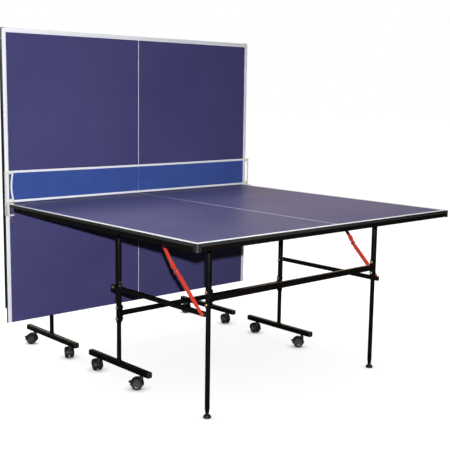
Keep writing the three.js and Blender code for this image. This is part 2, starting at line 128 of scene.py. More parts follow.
beside_camera = light_at("beside_camera", "AREA", eye + 0.019 * axes[0] + 0.098 * axes[1], (0, 0, 0.7), 195)
beside_camera.data.shape, beside_camera.data.size = "DISK", 0.035
overhead = light_at("overhead", "AREA", (0.4, 1.5, 4.6), (0, -0.3, 0.7), 185)
overhead.data.shape, overhead.data.size = "DISK", 3.0
floor_wash = light_at("floor_wash", "SUN", (0, 0, 6), (0, 0, 0), 3.2)
floor_wash.data.angle = np.radians(110)
back_glow = light_at("back_glow", "AREA", (4.7, 5.2, 1.7), (0.2, -0.4, 0.76), 41)
back_glow.data.shape, back_glow.data.size, back_glow.data.size_y = "RECTANGLE", 6.0, 2.2
back_glow.data.color = (1.0, 0.82, 0.66)
back_glow.visible_camera = False
rear_fill = light_at("rear_fill", "AREA", (-1.6, 6.0, 2.6), (0, 0.6, 0.9), 110)
rear_fill.data.shape, rear_fill.data.size = "DISK", 1.6
rear_fill.visible_camera = False
only_floor = bpy.data.collections.new("only_floor")
only_floor.objects.link(floor)
floor_wash.light_linking.receiver_collection = only_floor


# ---- how every piece is made -------------------------------------------------------------------
# Shapes are (points, faces) pairs worked out in the frame of the moving part that they belong to,
# then carried to their place in the table and joined into one mesh for each piece.
def grid_faces(rows, columns, round_rows=False, round_columns=False):
    """Quads between the points of a grid numbered row by row. A round direction closes on itself."""
    row, column = np.meshgrid(np.arange(rows - 1 + round_rows), np.arange(columns - 1 + round_columns),
                              indexing="ij")
    next_row, next_column = (row + 1) % rows, (column + 1) % columns
    quads = [row * columns + column, row * columns + next_column,
             next_row * columns + next_column, next_row * columns + column]
    return np.stack(quads, -1).reshape(-1, 4).tolist()


def stacked(outline, levels):
    """A closed outline repeated at each (height, inset) level, where inset moves it in along its mitred
    normals. Quads join the levels, and a flat face closes each end. Heights run along Z."""
    outline = np.asarray(outline, float)
    heights, insets = np.asarray(levels, float).T
    forward = np.roll(outline, -1, 0) - outline
    normal = np.stack([forward[:, 1], -forward[:, 0]], 1) / np.linalg.norm(forward, axis=1)[:, None]
    before = np.roll(normal, 1, 0)
    mitre = (normal + before) / (1 + (normal * before).sum(1))[:, None]
    flat = outline[None] - insets[:, None, None] * mitre[None]
    count = len(outline)
    rise = np.broadcast_to(heights[:, None, None], (len(heights), count, 1))
    points = np.concatenate([flat, rise], 2).reshape(-1, 3)
    ends = [list(range(count))[::-1], list(range(len(points) - count, len(points)))]
    return points, grid_faces(len(heights), count, round_columns=True) + ends


def eased(low, high, ease, inset=None):
    """Levels of a bar from low to high whose two ends are chamfered over ease, by inset or by ease too."""
    inset = ease if inset is None else inset
    return [(low, inset), (low + ease, 0), (high - ease, 0), (high, inset)]


def turned(profile, sides=40):
    """Each (radius, height) point of the profile turned about Z: (r cos t, r sin t, h)."""
    radius, height = np.asarray(profile, float).T
    turn = np.linspace(0, 2 * np.pi, sides, endpoint=False)
    points = np.stack([radius[:, None] * np.cos(turn), radius[:, None] * np.sin(turn),
                       np.broadcast_to(height[:, None], (len(height), sides))], -1)
    return points.reshape(-1, 3), grid_faces(len(radius), sides, round_columns=True)


def rounded_rectangle(half_x, half_y, radius, steps=5):
    """Four quarter circles of the given radius round the corners of a rectangle, anticlockwise."""
    quarter = np.linspace(0, np.pi / 2, steps)
    turn = (quarter[None] + np.arange(4)[:, None] * np.pi / 2).ravel()
    signs = np.repeat([[1, 1], [-1, 1], [-1, -1], [1, -1]], steps, 0)
    return signs * [half_x - radius, half_y - radius] + radius * np.stack([np.cos(turn), np.sin(turn)], 1)


def along_y(shape):
    """Turns a shape so that its heights run along Y and its outline lies in Z and X."""
    return shape[0][:, [1, 2, 0]], shape[1]


def along_x(shape):
    """Turns a shape so that its heights run along X and its outline lies in Y and Z."""
    return shape[0][:, [2, 0, 1]], shape[1]


def moved(shape, x=0.0, y=0.0, z=0.0):
    """The shape shifted by (x, y, z)."""
    return shape[0] + np.array([x, y, z]), shape[1]


def seated(shape, seat):
    """The shape carried into the table by a 4 x 4 seat: each point times the turn, plus the origin."""
    return shape[0] @ seat[:3, :3].T + seat[:3, 3], shape[1]


def make_piece(name, shapes, seat, paint, body):
    """Carries the shapes to their seat and joins them into one object, merges doubled points, points the
    faces outwards, keeps edges sharper than crease degrees crisp, and lets it ride on its body."""
    crease, merge_distance = 32.0, 2e-6
    shapes = [seated(shape, seat) for shape in shapes]
    starts = np.cumsum([0] + [len(points) for points, faces in shapes])
    faces = [[int(start) + corner for corner in face]
             for start, (points, sides) in zip(starts, shapes) for face in sides]
    mesh = bpy.data.meshes.new(name)
    mesh.from_pydata(np.concatenate([points for points, sides in shapes]).tolist(), [], faces)
    work = bmesh.new()
    work.from_mesh(mesh)
    bmesh.ops.remove_doubles(work, verts=work.verts, dist=merge_distance)
    bmesh.ops.recalc_face_normals(work, faces=work.faces)
    work.to_mesh(mesh)
    work.free()
    mesh.shade_smooth()
    mesh.set_sharp_from_angle(angle=np.radians(crease))
    mesh.materials.append(paint)
    thing = bpy.data.objects.new(name, mesh)
    bpy.context.scene.collection.objects.link(thing)
    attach(thing, body)
    return thing


def seat_at(origin, heading, angle):
    """The seat of a part whose own Y axis points outwards from the net, raised by angle, with X across."""
    across = np.array([heading, 0.0, 0.0])
    along = np.array([0.0, heading * np.cos(angle), np.sin(angle)])
    seat = np.eye(4)
    seat[:3, :3] = np.column_stack([across, along, np.cross(across, along)])
    seat[:3, 3] = origin
    return seat


# The seats of each half's moving parts come from its pivots. The strut's elbow is where circles of
# the two links' lengths about their outer pins meet, on the side that the fold leaves free.
upper_link, lower_link = 0.195, 0.2135
halves = {}
for half, heading, folded in (("near", -1, False), ("far", 1, True)):
    pin = {part: np.array(joints[f"{half}_{part}"]["pos_m"]) for part in
           ("fold", "outer_leg_swing", "side_bar_swing", "strut_upper_swing", "strut_lower_swing")}
    lean = np.radians(3.0) if folded else 0.0

    def slope(start, end):
        """The angle of the line from start to end above the outward horizontal."""
        return np.arctan2(end[2] - start[2], heading * (end[1] - start[1]))

    strut_top, strut_low = pin["strut_upper_swing"], pin["strut_lower_swing"]
    reach = np.linalg.norm(strut_low - strut_top)
    bend = np.arccos((upper_link**2 + reach**2 - lower_link**2) / (2 * upper_link * reach))
    upper_slope = slope(strut_top, strut_low) + (bend if folded else -bend)
    elbow = strut_top + upper_link * np.array([0, heading * np.cos(upper_slope), np.sin(upper_slope)])
    halves[half] = {
        "top": seat_at(pin["fold"], heading, np.pi / 2 if folded else 0.0),
        "carriage": seat_at((0, pin["fold"][1], 0), heading, 0.0),
        "outer_legs": seat_at(pin["outer_leg_swing"], heading, lean),
        "side_bars": seat_at(pin["side_bar_swing"], heading, slope(pin["side_bar_swing"], strut_low)),
        "strut_uppers": seat_at(strut_top, heading, upper_slope),
        "strut_lowers": seat_at(strut_low, heading, slope(strut_low, elbow)),
    }


def end_name(half, side):
    """left or right in the whole table, where side is the sign of X in the half's own frame."""
    return "right" if (side > 0) == (half == "far") else "left"


# ---- effects shared by several finishes --------------------------------------------------------
# Fine grain or orange peel in a surface, and the patchy film of dust and handling that takes the
# even gloss off it. Both read the place on the object, so they stay put when it moves.
def new_group(name, inputs, outputs):
    """An empty shader group with float inputs {name: value} and outputs {name: socket type}."""
    group = bpy.data.node_groups.new(name, "ShaderNodeTree")
    for title, value in inputs.items():
        socket = group.interface.new_socket(title, in_out="INPUT", socket_type="NodeSocketFloat")
        socket.default_value = value
    for title, kind in outputs.items():
        group.interface.new_socket(title, in_out="OUTPUT", socket_type=kind)
    return group, group.nodes.new("NodeGroupInput").outputs, group.nodes.new("NodeGroupOutput").inputs


def add_node(tree, kind, links=(), **values):
    """A node with its attributes set from values, and its inputs from (input, output or value) links."""
    node = tree.nodes.new(kind)
    for title, value in values.items():
        setattr(node, title, value)
    for title, source in links:
        if isinstance(source, bpy.types.NodeSocket):
            tree.links.new(source, node.inputs[title])
        else:
            node.inputs[title].default_value = source
    return node


grain, given, out = new_group("fine_grain", {"Size": 0.001, "Depth": 0.1}, {"Normal": "NodeSocketVector"})
place = add_node(grain, "ShaderNodeTexCoord").outputs["Object"]
scale = add_node(grain, "ShaderNodeMath", [(0, 1.0), (1, given["Size"])], operation="DIVIDE")
peel = add_node(grain, "ShaderNodeTexNoise", [("Vector", place), ("Scale", scale.outputs[0]),
                                              ("Detail", 3.0)])
bump = add_node(grain, "ShaderNodeBump", [("Height", peel.outputs["Fac"]), ("Strength", given["Depth"]),
                                          ("Distance", given["Size"])])
grain.links.new(bump.outputs["Normal"], out["Normal"])

film, given, out = new_group("handling_film", {"Size": 0.2, "Amount": 0.5},
                             {"Mask": "NodeSocketFloat", "Speckle": "NodeSocketFloat"})
place = add_node(film, "ShaderNodeTexCoord").outputs["Object"]
scale = add_node(film, "ShaderNodeMath", [(0, 1.0), (1, given["Size"])], operation="DIVIDE")
cloud = add_node(film, "ShaderNodeTexNoise", [("Vector", place), ("Scale", scale.outputs[0]), ("Detail", 6.0),
                                              ("Roughness", 0.62), ("Distortion", 0.4)])
patch = add_node(film, "ShaderNodeMapRange", [("Value", cloud.outputs["Fac"]), ("From Min", 0.35),
                                              ("From Max", 0.7), ("To Max", given["Amount"])])
film.links.new(patch.outputs["Result"], out["Mask"])
dots = add_node(film, "ShaderNodeTexNoise", [("Vector", place), ("Scale", 420.0), ("Detail", 2.0)])
film.links.new(dots.outputs["Fac"], out["Speckle"])


def finish(name, dark, light, gloss, film_size, film_amount, grain_size, grain_depth,
           metallic=0.0, specular=0.5, coat=0.0):
    """A finish whose colour runs from dark to light with the film's patches and speckle, whose roughness
    runs over the gloss pair with them, and whose surface has the grain."""
    paint = bpy.data.materials.new(name)
    paint.use_nodes = True
    tree = paint.node_tree
    shader = tree.nodes["Principled BSDF"]
    worn = add_node(tree, "ShaderNodeGroup", node_tree=film)
    worn.inputs["Size"].default_value, worn.inputs["Amount"].default_value = film_size, film_amount
    speck = add_node(tree, "ShaderNodeMath", [(0, worn.outputs["Speckle"]), (1, 0.35), (2, 0.0)],
                     operation="MULTIPLY_ADD")
    blend = add_node(tree, "ShaderNodeMath", [(0, worn.outputs["Mask"]), (1, speck.outputs[0])],
                     operation="ADD", use_clamp=True)
    tint = tree.nodes.new("ShaderNodeMix")
    tint.data_type = "RGBA"
    tree.links.new(blend.outputs[0], tint.inputs["Factor"])
    tint.inputs[6].default_value, tint.inputs[7].default_value = (*dark, 1), (*light, 1)
    tree.links.new(tint.outputs[2], shader.inputs["Base Color"])
    dull = add_node(tree, "ShaderNodeMapRange", [("Value", worn.outputs["Mask"]), ("To Min", gloss[0]),
                                                 ("To Max", gloss[1])])
    tree.links.new(dull.outputs["Result"], shader.inputs["Roughness"])
    rough = add_node(tree, "ShaderNodeGroup", node_tree=grain)
    rough.inputs["Size"].default_value, rough.inputs["Depth"].default_value = grain_size, grain_depth
    tree.links.new(rough.outputs["Normal"], shader.inputs["Normal"])
    shader.inputs["Metallic"].default_value = metallic
    shader.inputs["Specular IOR Level"].default_value = specular
    shader.inputs["Coat Weight"].default_value = coat
    return paint


powder_black = finish("powder_black", (0.0028, 0.0022, 0.0019), (0.0056, 0.0045, 0.0038), (0.25, 0.38),
                      0.18, 0.5, 0.0012, 0.08, specular=0.16)
moulded_black = finish("moulded_black", (0.007, 0.0068, 0.007), (0.014, 0.0135, 0.014), (0.42, 0.6),
                       0.05, 0.5, 0.0006, 0.15, specular=0.25)
zinc = finish("yellow_zinc", (0.55, 0.47, 0.31), (0.72, 0.66, 0.5), (0.28, 0.42), 0.01, 0.7, 0.0008, 0.1,
              metallic=1.0)


# ---- boards ------------------------------------------------------------------------------------
# Each half's top is a 13 mm fibreboard with a matt roller-coated blue face, a dark brown backing and
# a moulded dark grey band round its edge. Real lines of white paint lie on the face.
board_low, board_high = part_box("near_board")
pivot = halves["near"]["top"][:3, 3]
half_width = board_high.x
net_edge, end_edge = pivot[1] - board_high.y, pivot[1] - board_low.y
face = board_high.z - pivot[2]
underside = board_low.z - pivot[2]
corner_radius = 0.008
band_thick = 0.001
line_width, centre_line = 0.020, 0.003
paint_thick, paint_margin = 0.00018, 0.0006
paint_levels = [(0, 0), (0.6 * paint_thick, 0), (paint_thick, 0.0002)]

board_blue = finish("roller_coat_blue", (0.053, 0.050, 0.158), (0.068, 0.063, 0.184), (0.40, 0.5),
                    0.55, 0.75, 0.0007, 0.22, specular=0.42)
backing = finish("backing_brown", (0.030, 0.025, 0.021), (0.052, 0.044, 0.037), (0.5, 0.7), 0.3, 0.45,
                 0.0015, 0.3, specular=0.3)
band_grey = finish("edge_band_grey", (0.018, 0.020, 0.019), (0.03, 0.032, 0.031), (0.38, 0.5), 0.2, 0.5,
                   0.0008, 0.15, specular=0.4)
line_white = finish("line_paint", (0.80, 0.82, 0.86), (0.88, 0.89, 0.91), (0.42, 0.55), 0.12, 0.7,
                    0.0009, 0.15)


def board_outline(inset=0.0, steps=7):
    """The board from above: square corners at the net edge, quarter circles at the end corners."""
    quarter = np.linspace(0, np.pi / 2, steps)
    x, near_y, far_y = half_width - inset, net_edge + inset, end_edge - inset
    radius = corner_radius - inset
    arc = radius * np.stack([np.cos(quarter), np.sin(quarter)], 1)
    right = arc + [x - radius, far_y - radius]
    left = arc[::-1] * [-1, 1] + [-x + radius, far_y - radius]
    return np.concatenate([[[-x, near_y], [x, near_y]], right, left])


def strip(x0, x1, y0, y1):
    """A film of paint over a rectangle of the face, with its upper edges rounded off."""
    outline = rounded_rectangle((x1 - x0) / 2, (y1 - y0) / 2, 0.0004, 3)
    return moved(stacked(outline, paint_levels), (x0 + x1) / 2, (y0 + y1) / 2, face)


for half, seats in halves.items():
    inside = board_outline(band_thick)
    faced = stacked(inside, [(underside + 0.0015, 0), (face - 0.0004, 0), (face, 0.0004)])
    make_piece(f"{half}_board_face", [faced], seats["top"], board_blue, f"{half}_top")
    backed = stacked(inside, [(underside, 0.0004), (underside + 0.0004, 0), (underside + 0.0014, 0)])
    make_piece(f"{half}_board_backing", [backed], seats["top"], backing, f"{half}_top")
    # The band's outside bulges by a round nose: set back most at its upper and lower edges.
    nose = np.linspace(-1, 1, 9)
    heights = (face + underside) / 2 + nose * ((face - underside) / 2 - 0.0001)
    bulge = 0.0012 * np.abs(nose) ** 6
    lip = band_thick + 0.0005
    ring = np.concatenate([[[heights[0], lip]], np.stack([heights, bulge], 1), [[heights[-1], lip]]])
    banded = stacked(board_outline(), ring)
    make_piece(f"{half}_edge_band", [banded], seats["top"], band_grey, f"{half}_top")
    # The border is one U-shaped strip that keeps to the board's outline on its outside.
    inner_x, inner_y, start_y = half_width - line_width, end_edge - line_width, net_edge + paint_margin
    border = np.concatenate([np.roll(board_outline(paint_margin), -1, 0),
                             [[-inner_x, start_y], [-inner_x, inner_y],
                              [inner_x, inner_y], [inner_x, start_y]]])
    lines = [moved(stacked(border, paint_levels), z=face),
             strip(-centre_line / 2, centre_line / 2, start_y, inner_y)]
    make_piece(f"{half}_lines", lines, seats["top"], line_white, f"{half}_top")
    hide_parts(f"{half}_board")


# ---- aprons ------------------------------------------------------------------------------------
# A black powder coated steel tube runs under three sides of each board and stops short of the net
# edge. Plastic plugs close its two ends, and a moulded cover wraps each outer corner.
apron_high, apron_wide, apron_inset = 0.018, 0.024, 0.002
apron_start = net_edge + 0.070
apron_gap = 0.0003
cover_arm = 0.011
plastic_cover = finish("corner_plastic", (0.010, 0.0102, 0.0104), (0.022, 0.022, 0.022), (0.3, 0.42),
                       0.03, 0.6, 0.0006, 0.15, specular=0.5)


def u_frame(section, middle_x, start_y, end_y):
    """A closed section carried along one side, across the end and back, mitred at the corners. The
    section's first value moves outwards from the middle of the tube, its second is the height."""
    out, height = section.T
    one = np.ones_like(out)
    rows = [(-(middle_x + out), start_y * one), (-(middle_x + out), end_y + out),
            (middle_x + out, end_y + out), (middle_x + out, start_y * one)]
    points = np.concatenate([np.stack([x, y, height], 1) for x, y in rows])
    count = len(section)
    ends = [list(range(count))[::-1], list(range(3 * count, 4 * count))]
    return points, grid_faces(4, count, round_columns=True) + ends


tube_middle = half_width - apron_inset - apron_wide / 2
tube_end = end_edge - apron_inset - apron_wide / 2
tube_height = underside - apron_gap - apron_high / 2
for half, seats in halves.items():
    section = rounded_rectangle(apron_wide / 2, apron_high / 2, 0.0022) + [0, tube_height]
    tube = u_frame(section, tube_middle, apron_start, tube_end)
    apron = make_piece(f"{half}_apron_tube", [tube], seats["top"], powder_black, f"{half}_top")
    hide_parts(f"{half}_apron_frame")
    plugs, covers = [], []
    for side in (-1, 1):
        plug = along_y(stacked(rounded_rectangle(apron_high / 2 - 0.0002, apron_wide / 2 - 0.0002, 0.002),
                               [(-0.0025, 0.0012), (-0.0018, 0.0002), (-0.0001, 0)]))
        plugs.append(moved(plug, side * tube_middle, apron_start, tube_height))
        # A shell round the corner: a quarter circle with a short straight arm along each side of it.
        turn = np.linspace(0, np.pi / 2, 12)
        arc = np.stack([np.cos(turn), np.sin(turn)], 1)
        skin = [np.concatenate([[[radius, -cover_arm]], radius * arc, [[-cover_arm, radius]]])
                for radius in (corner_radius + 0.0012, corner_radius - 0.0011)]
        shell = np.concatenate([skin[0], skin[1][::-1]])
        shell = shell + [half_width - corner_radius, end_edge - corner_radius]
        shell = shell if side > 0 else (shell * [-1, 1])[::-1]
        covers.append(stacked(shell, [(tube_height - apron_high / 2 - 0.0006, 0.0004),
                                      (tube_height - apron_high / 2, 0), (face - 0.0026, 0),
                                      (face - 0.0018, 0.0005)]))
    make_piece(f"{half}_apron_plugs", plugs, seats["top"], moulded_black, f"{half}_top")
    make_piece(f"{half}_corner_covers", covers, seats["top"], plastic_cover, f"{half}_top")


# ---- fasteners ---------------------------------------------------------------------------------
# Yellow zinc hexagon bolts and washers hold the frame together, with domed nuts inside the legs.
# Pivots that something passes close by have flat riveted heads.
def hexagon(flats):
    """A regular hexagon with that distance across its flats."""
    turn = np.arange(6) * np.pi / 3
    return flats / np.sqrt(3) * np.stack([np.cos(turn), np.sin(turn)], 1)


def bolt_head(flats=0.010, high=0.004):
    """A washer on Z 0 with a chamfered hexagon head on it and a shallow dish in the head."""
    washer = turned([(0, 0), (0.72 * flats, 0), (0.74 * flats, 0.0004), (0.72 * flats, 0.0012),
                     (0, 0.0012)], 28)
    head = stacked(hexagon(flats), [(0.0010, 0), (high, 0), (high + 0.0008, 0.0009), (high + 0.0004, 0.0022)])
    return [washer, head]


def domed_nut(flats=0.010, high=0.0085):
    """A washer, a hexagon nut on it, and a dome on that whose radius falls off as a quarter circle."""
    turn = np.linspace(0, np.pi / 2, 6)
    dome = np.stack([0.44 * flats * np.cos(turn), 0.55 * high + 0.45 * high * np.sin(turn)], 1)
    washer = turned([(0, 0), (0.74 * flats, 0), (0.74 * flats, 0.0012), (0, 0.0012)], 28)
    nut = stacked(hexagon(flats), [(0.0010, 0), (0.5 * high, 0), (0.58 * high, 0.0007)])
    return [washer, nut, turned(np.concatenate([[[0, 0.5 * high]], dome]), 24)]


def rivet_head(radius=0.0055, high=0.0022):
    """A low dome: (radius cos t, high sin^0.8 t) for t from the rim to the crown."""
    turn = np.linspace(0, np.pi / 2, 6)
    dome = np.stack([radius * np.cos(turn), high * np.sin(turn) ** 0.8], 1)
    return [turned(np.concatenate([[[0, -0.0002]], dome]), 24)]


def on_side(shapes, x, y, z, outwards):
    """Stands shapes made along Z on a plane of constant X, pointing to +X or -X."""
    order = [2, 0, 1] if outwards > 0 else [2, 1, 0]
    return [(points[:, order] * [outwards, 1, 1] + np.array([x, y, z]), faces) for points, faces in shapes]


def facing_way(levels, way):
    """The (height, inset) levels as they are, or turned end for end below height 0 when way is -1."""
    return np.array(levels) if way > 0 else np.array(levels)[::-1] * [-1, 1]


def pin_end(radius, high):
    """A plain round end standing on Z 0."""
    return turned([(radius, 0), (radius, high), (0, high)], 20)


# ---- inner legs --------------------------------------------------------------------------------
# Each inner leg is a 25 mm tube with a 20 mm tube pushed into it and welded to a square T-foot with
# plastic end caps. It hangs in the ears of a pressed rail under the board.
leg_x, pivot_high = 0.510, halves["near"]["top"][2, 3]
sleeve_radius, tube_radius = 0.0125, 0.010
inner_sleeve_end, foot_low, foot_size, foot_long = 0.265, 0.065, 0.025, 0.450
bar_height = joints["near_side_bar_swing"]["pos_m"][2]


def leg_tube(pin_height, sleeve_end, low_profile):
    """Turned profile of a leg from its low end: the low end given, the 20 mm tube, a rolled rim where
    the 25 mm tube starts, then the 25 mm tube up to a rounded crown about the pivot."""
    turn = np.linspace(0, np.pi / 2, 7)[1:]
    crown = np.stack([sleeve_radius * np.cos(turn), pin_height + 0.0115 * np.sin(turn)], 1)
    rim = [(tube_radius, sleeve_end - 0.0002), (sleeve_radius - 0.0012, sleeve_end),
           (sleeve_radius - 0.0002, sleeve_end + 0.0008), (sleeve_radius, sleeve_end + 0.0022),
           (sleeve_radius, pin_height)]
    return turned(np.concatenate([low_profile, rim, crown]), 40)


for half, seats in halves.items():
    for side in (-1, 1):
        end = end_name(half, side)
        foot_middle, foot_half = foot_low + foot_size / 2, foot_size / 2
        # The weld bead on the T-foot, as (past the tube, above the foot) points.
        weld = [(-tube_radius, -0.001), (0.0028, -0.0006), (0.0024, 0.0012), (0.0008, 0.0026), (0, 0.0034)]
        tube = leg_tube(pivot_high, inner_sleeve_end, np.add(weld, [tube_radius, foot_low + foot_size]))
        foot = along_y(stacked(rounded_rectangle(foot_half, foot_half, 0.003),
                               eased(-foot_long / 2, foot_long / 2, 0.0006)))
        leg = make_piece(f"{half}_inner_leg_tube_{end}",
                         [moved(tube, side * leg_x), moved(foot, side * leg_x, 0, foot_middle)],
                         seats["carriage"], powder_black, f"{half}_carriage")
        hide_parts(f"{half}_inner_leg_{end}")
        caps = []
        for toward in (-1, 1):
            levels = facing_way([(0, 0.0002), (0.0016, 0.0), (0.0028, 0.001), (0.0034, 0.0032)], toward)
            cap = along_y(stacked(rounded_rectangle(foot_half, foot_half, 0.0034), levels))
            caps.append(moved(cap, side * leg_x, toward * foot_long / 2, foot_middle))
        make_piece(f"{half}_foot_caps_{end}", caps, seats["carriage"], plastic_cover,
                   f"{half}_carriage")


# ---- outer legs --------------------------------------------------------------------------------
# The outer legs are the same pair of tubes on their own cross bar, with a crimped low end where a
# levelling foot screws in.
outer_sleeve_end, outer_leg_end = 0.447 - pivot_high, 0.022 - pivot_high
for half, seats in halves.items():
    for side in (-1, 1):
        end = end_name(half, side)
        crimp = np.add([(0, 0.004), (0.0058, 0.004), (0.0058, 0.0006), (0.0074, 0), (0.0084, 0.001),
                        (0.0086, 0.009), (tube_radius, 0.014)], [0, outer_leg_end])
        tube = moved(leg_tube(0.0, outer_sleeve_end, crimp), side * leg_x)
        leg = make_piece(f"{half}_outer_leg_tube_{end}", [tube], seats["outer_legs"],
                         powder_black, f"{half}_outer_legs")
        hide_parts(f"{half}_outer_leg_{end}")


# ---- cross bars --------------------------------------------------------------------------------
# A tube with a welded plate at each end joins the left and right legs of a pair. Two bolts pass
# through each plate and its leg.
inner_cross, outer_cross = (0.307, 0.020), (0.486 - pivot_high, 0.025)
cross_depth, plate_thick, plate_wide, plate_high = 0.020, 0.003, 0.014, 0.075
bolt_rise = 0.0255
sunk = 0.0004    # how far a fastener's base is let into a round tube or a strip
plate_out = leg_x - sleeve_radius - 0.0003
for half, seats in halves.items():
    for pair, (height, tall) in (("inner", inner_cross), ("outer", outer_cross)):
        seat_name = "carriage" if pair == "inner" else "outer_legs"
        seat = seats[seat_name]
        plate_in = plate_out - plate_thick
        section = rounded_rectangle(cross_depth / 2, tall / 2, 0.0025)
        plate_outline = rounded_rectangle(plate_wide / 2, plate_high / 2, 0.004)
        shapes, bolts, nuts = [along_x(stacked(section, [(-plate_in, 0), (plate_in, 0)]))], [], []
        for side in (-1, 1):
            # A weld bead rounds the joint of tube and plate.
            bead = [(plate_in - 0.003, 0.0), (plate_in - 0.0022, -0.0016), (plate_in + 0.0005, -0.0024)]
            shapes += [
                along_x(stacked(plate_outline, facing_way(eased(plate_in, plate_out, 0.0004, 0.0003), side))),
                along_x(stacked(section, facing_way(bead, side)))]
            for rise in (-bolt_rise, bolt_rise):
                bolts += on_side(bolt_head(), side * (leg_x + sleeve_radius - sunk), 0, height + rise, side)
                nuts += on_side(domed_nut(), side * plate_in, 0, height + rise, -side)
        body = f"{half}_{seat_name}"
        bar = make_piece(f"{half}_{pair}_cross_tube", [moved(shape, z=height) for shape in shapes], seat,
                         powder_black, body)
        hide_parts(f"{half}_{pair}_cross_bar")
        make_piece(f"{half}_{pair}_leg_bolts", bolts, seat, zinc, body)
        make_piece(f"{half}_{pair}_nut_caps", nuts, seat, zinc, body)


# ---- side bars ---------------------------------------------------------------------------------
# A flat-sided tube outside each pair of legs ties the outer leg to the inner one, so that the legs
# fold up behind the top. Spacer bushes keep it off the legs.
bar_face, bar_thick, bar_tall, bar_over = leg_x + sleeve_radius + 0.0055, 0.014, 0.020, 0.014
plug_deep = 0.002
bar_long = float(np.linalg.norm(np.subtract(joints["near_strut_lower_swing"]["pos_m"],
                                            joints["near_side_bar_swing"]["pos_m"])))
for half, seats in halves.items():
    seat = seats["side_bars"]
    for side in (-1, 1):
        end = end_name(half, side)
        middle = side * (bar_face + bar_thick / 2)
        tube_from, tube_to = -bar_over + plug_deep, bar_long + bar_over - plug_deep
        bar = along_y(stacked(rounded_rectangle(bar_tall / 2, bar_thick / 2, 0.0022),
                              [(tube_from, 0), (tube_to, 0)]))
        plastic = []
        plug_outline = rounded_rectangle(bar_tall / 2 + 0.0001, bar_thick / 2 + 0.0001, 0.0024)
        for at, toward in ((tube_from, -1), (tube_to, 1)):
            levels = facing_way([(0, 0.0), (0.0012, 0.0001), (plug_deep, 0.0014)], toward)
            plastic.append(moved(along_y(stacked(plug_outline, levels)), middle, at))
        bush = turned([(0.0046, 0), (0.0078, 0), (0.008, 0.0004), (0.008, 0.0044), (0.0046, 0.0044)], 28)
        for at in (0.0, bar_long):
            plastic += on_side([bush], side * (leg_x + sleeve_radius + 0.0008), at, 0, side)
        tube = make_piece(f"{half}_side_tube_{end}", [moved(bar, middle)], seat, powder_black,
                          f"{half}_side_bars")
        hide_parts(f"{half}_side_bar_{end}")
        make_piece(f"{half}_side_tube_plugs_{end}", plastic, seat, moulded_black,
                   f"{half}_side_bars")
        bar_outside = bar_face + bar_thick
        rivet = on_side(rivet_head(0.0052, 0.0024), side * (bar_outside + 0.0050), bar_long, 0, side)
        shank = on_side([pin_end(0.004, 0.0056)], side * (bar_outside - sunk), bar_long, 0, side)
        make_piece(f"{half}_strut_rivet_{end}", rivet + shank, seat, zinc, f"{half}_side_bars")
        # The bolt at the bar's inner end belongs to the leg, so it stays with the carriage. Two rivets on
        # the leg's outward face hold the sleeve that the bolt passes through.
        bolt = on_side(bolt_head(), side * bar_outside, 0, bar_height, side)
        nut = on_side(domed_nut(), side * (leg_x - sleeve_radius + sunk), 0, bar_height, -side)
        for rise in (0.004, 0.019):
            dome, dome_faces = rivet_head(0.0034, 0.0018)[0]
            around = np.radians(84 if side > 0 else 96)
            facing = np.array([[-np.sin(around), 0, np.cos(around)],
                               [np.cos(around), 0, np.sin(around)], [0, 1, 0]])
            rivet_seat = [side * leg_x, 0, bar_height + rise] + (sleeve_radius - 0.0003) * facing[:, 2]
            bolt.append((dome @ facing.T + rivet_seat, dome_faces))
        make_piece(f"{half}_bar_bolt_{end}", bolt, seats["carriage"], zinc, f"{half}_carriage")
        make_piece(f"{half}_bar_nut_cap_{end}", nut, seats["carriage"], zinc, f"{half}_carriage")


# ---- struts ------------------------------------------------------------------------------------
# Two pressed strips of red-orange steel meet at a riveted elbow and lock straight under the top.
# The upper one is widest near the elbow, the lower one narrows towards its outer pin, and each has a
# raised rib along its middle.
link_thick, eye_radius, lower_eye = 0.004, 0.011, 0.0096
upper_half_wide, lower_half_wide = 0.0085, 0.01025
link_gap = 0.0012
lower_x = bar_face + bar_thick + 0.001
upper_x = lower_x + link_thick + link_gap
strut_red = finish("strut_red", (0.56, 0.040, 0.022), (0.68, 0.066, 0.032), (0.36, 0.5), 0.05, 0.6,
                   0.001, 0.2, specular=0.4)


def link_outline(long, start_eye, end_eye, waist, lug, lug_at, steps=18):
    """A strip along its first axis between two round eyes, with straight sides and a lug: a smooth bump
    lug exp(-((s - lug_at) / 0.055)^2) on its half width, where s runs from 0 to 1 along it."""
    first = np.radians(np.linspace(40, 320, steps))
    last = np.radians(np.linspace(-140, 140, steps))
    share = np.linspace(0.09, 0.91, 22)
    swell = waist + lug * np.exp(-(((share - lug_at) / 0.055) ** 2))
    start = start_eye * np.stack([np.cos(first), np.sin(first)], 1)
    finish_eye = end_eye * np.stack([np.cos(last), np.sin(last)], 1) + [long, 0]
    under = np.stack([share * long, -swell], 1)
    over = np.stack([share * long, swell], 1)[::-1]
    return np.concatenate([start, under, finish_eye, over])


